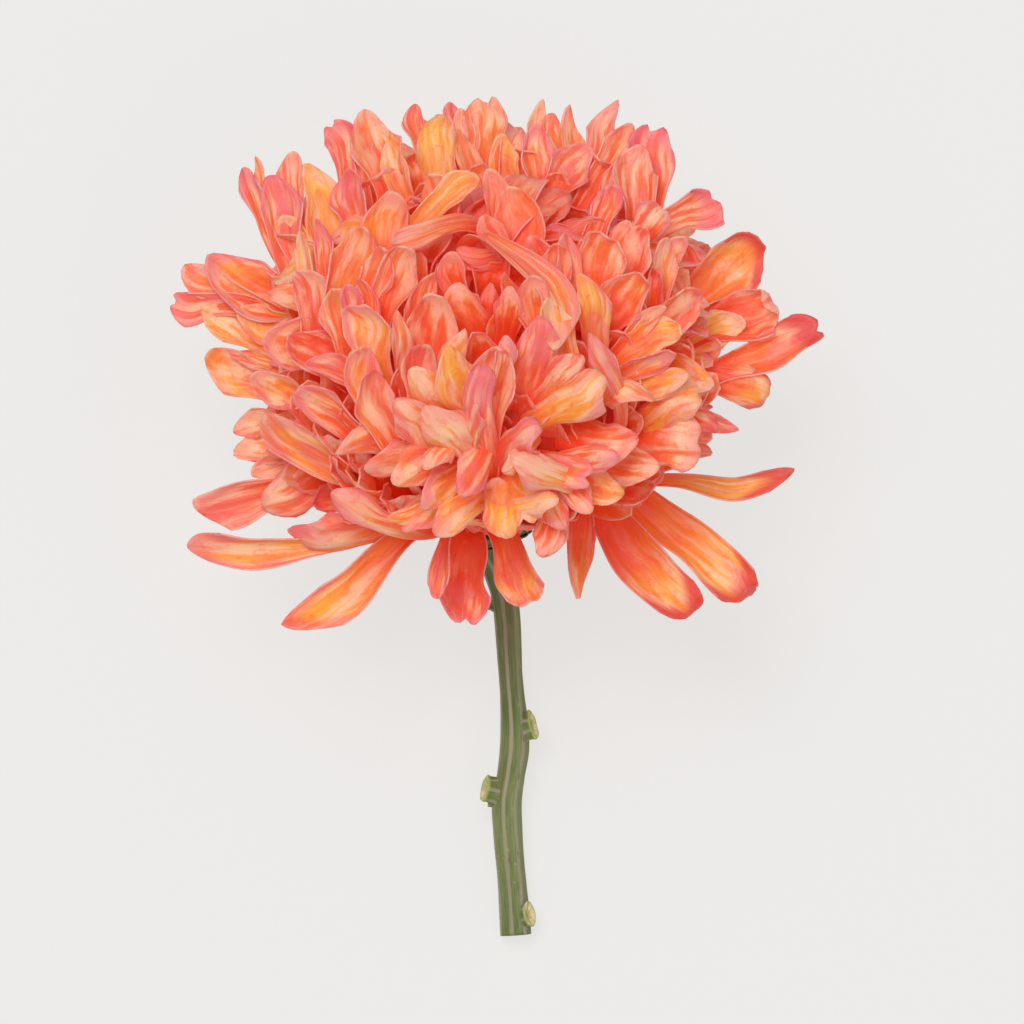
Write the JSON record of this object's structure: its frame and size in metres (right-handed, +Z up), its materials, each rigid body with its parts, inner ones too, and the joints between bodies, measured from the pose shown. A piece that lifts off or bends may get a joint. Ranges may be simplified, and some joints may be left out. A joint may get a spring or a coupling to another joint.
{
  "type": "chrysanthemum",
  "caption": "Cut chrysanthemum lying on its back: a ribbed stem with cut leaf stalks, a cup of bracts and a full double bloom of strap and spoon shaped petals round a small pocket",
  "frame": {"origin": "bottom centre of the bounding box, on the surface that the flower lies on", "axes": "+Z is up, +Y runs from the cut end of the stem to the bloom, +X is to the bloom's right seen from above"},
  "size_m": [0.1295, 0.1621, 0.1063],
  "materials": {
    "stem": "satin olive green, ribbed lengthwise",
    "bract": "matt dark green",
    "petal": "soft coral and orange petal with fine veins and pink rims"
  },
  "bodies": {
    "root": {"stem": "stem", "involucre": "bract", "bloom": "petal"}
  },
  "joints": []
}
